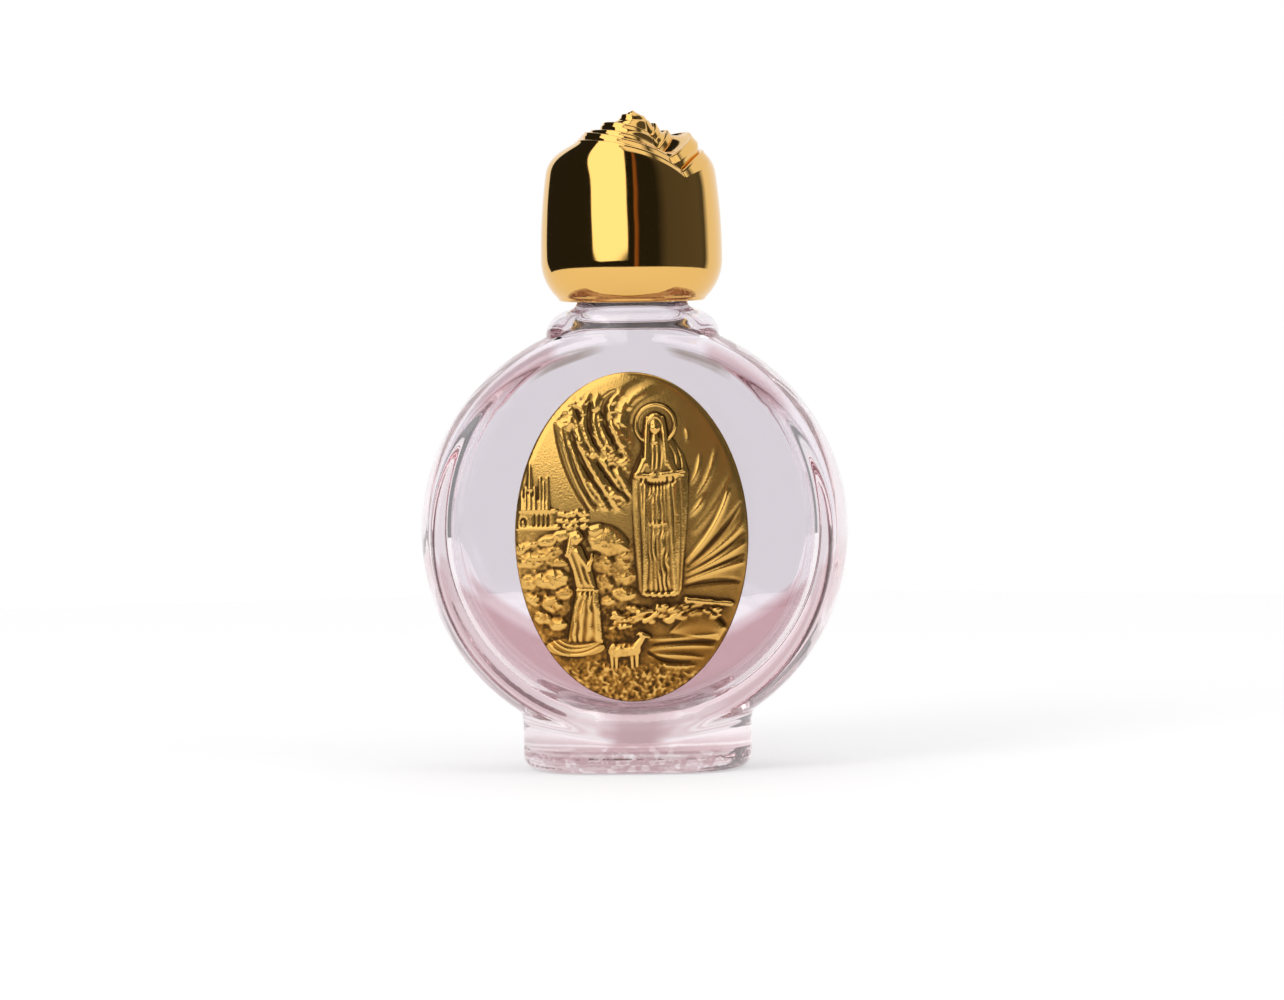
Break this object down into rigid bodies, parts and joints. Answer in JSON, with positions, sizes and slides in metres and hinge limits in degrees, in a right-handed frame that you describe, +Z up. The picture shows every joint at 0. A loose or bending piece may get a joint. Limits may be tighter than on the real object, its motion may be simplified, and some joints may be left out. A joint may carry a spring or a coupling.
{
  "type": "holy water bottle",
  "caption": "Flat round glass flask with an oval foot, a cast oval relief plaque glued to its front face, and a rose-bud screw cap with an insert and sealing wad.",
  "frame": {"origin": "centre of the base, on the neck's axis", "axes": "+Z up along the neck, the plaque faces -Y, +X to the right as seen from the front"},
  "size_m": [0.0422, 0.0186, 0.0649],
  "materials": {
    "clear_glass": "clear moulded glass with a faint lilac tint",
    "antique_gold": "cast relief, antiqued gold plating with dark hollows",
    "glue": "clear glue film",
    "mirror_gold": "metallised mirror gold",
    "insert_plastic": "natural white plastic",
    "foam": "closed-cell white foam"
  },
  "bodies": {
    "bottle": {"glass_bottle": "clear_glass", "front_plaque": "antique_gold", "plaque_adhesive": "glue"},
    "seal": {"sealing_wad": "foam"},
    "cap": {"cap_shell": "mirror_gold", "thread_insert": "insert_plastic"}
  },
  "joints": [
    {"name": "cap_rise", "type": "slide", "parent": "bottle", "child": "seal", "axis": [0, 0, 1], "range_m": [0, 0.01271]},
    {"name": "cap_turn", "type": "hinge", "parent": "seal", "child": "cap", "pos_m": [0, 0, 0.05], "axis": [0, 0, 1], "range_deg": [0, 2160]}
  ],
  "couplings": [
    {"joint": "cap_rise", "follows": "cap_turn", "m_per_rad": 0.00033688}
  ]
}
